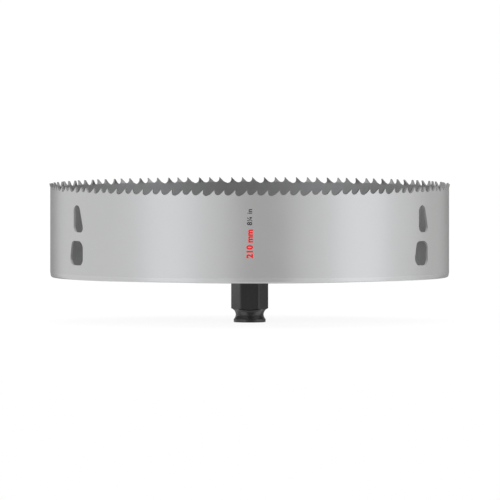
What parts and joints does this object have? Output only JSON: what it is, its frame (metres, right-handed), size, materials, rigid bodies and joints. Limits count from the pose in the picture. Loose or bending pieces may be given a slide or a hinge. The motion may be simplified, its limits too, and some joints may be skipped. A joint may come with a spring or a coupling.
{
  "type": "hole saw",
  "caption": "Wide shallow hole saw cup with set teeth round its rim, prising slots through the wall and a hexagonal quick-change shank below.",
  "frame": {"origin": "centre of the drive adapter's end face, on which the saw stands", "axes": "+Z along the axis of rotation, up to the tooth tips; -Y is the side that the picture shows"},
  "size_m": [0.2098, 0.2098, 0.0724],
  "materials": {
    "cup_steel": "satin, clear-coated",
    "black_oxide_steel": "matte black oxide"
  },
  "bodies": {
    "root": {"toothed_band": "cup_steel", "base_plate": "cup_steel", "drive_adapter": "black_oxide_steel", "lock_nut": "black_oxide_steel"}
  },
  "joints": []
}
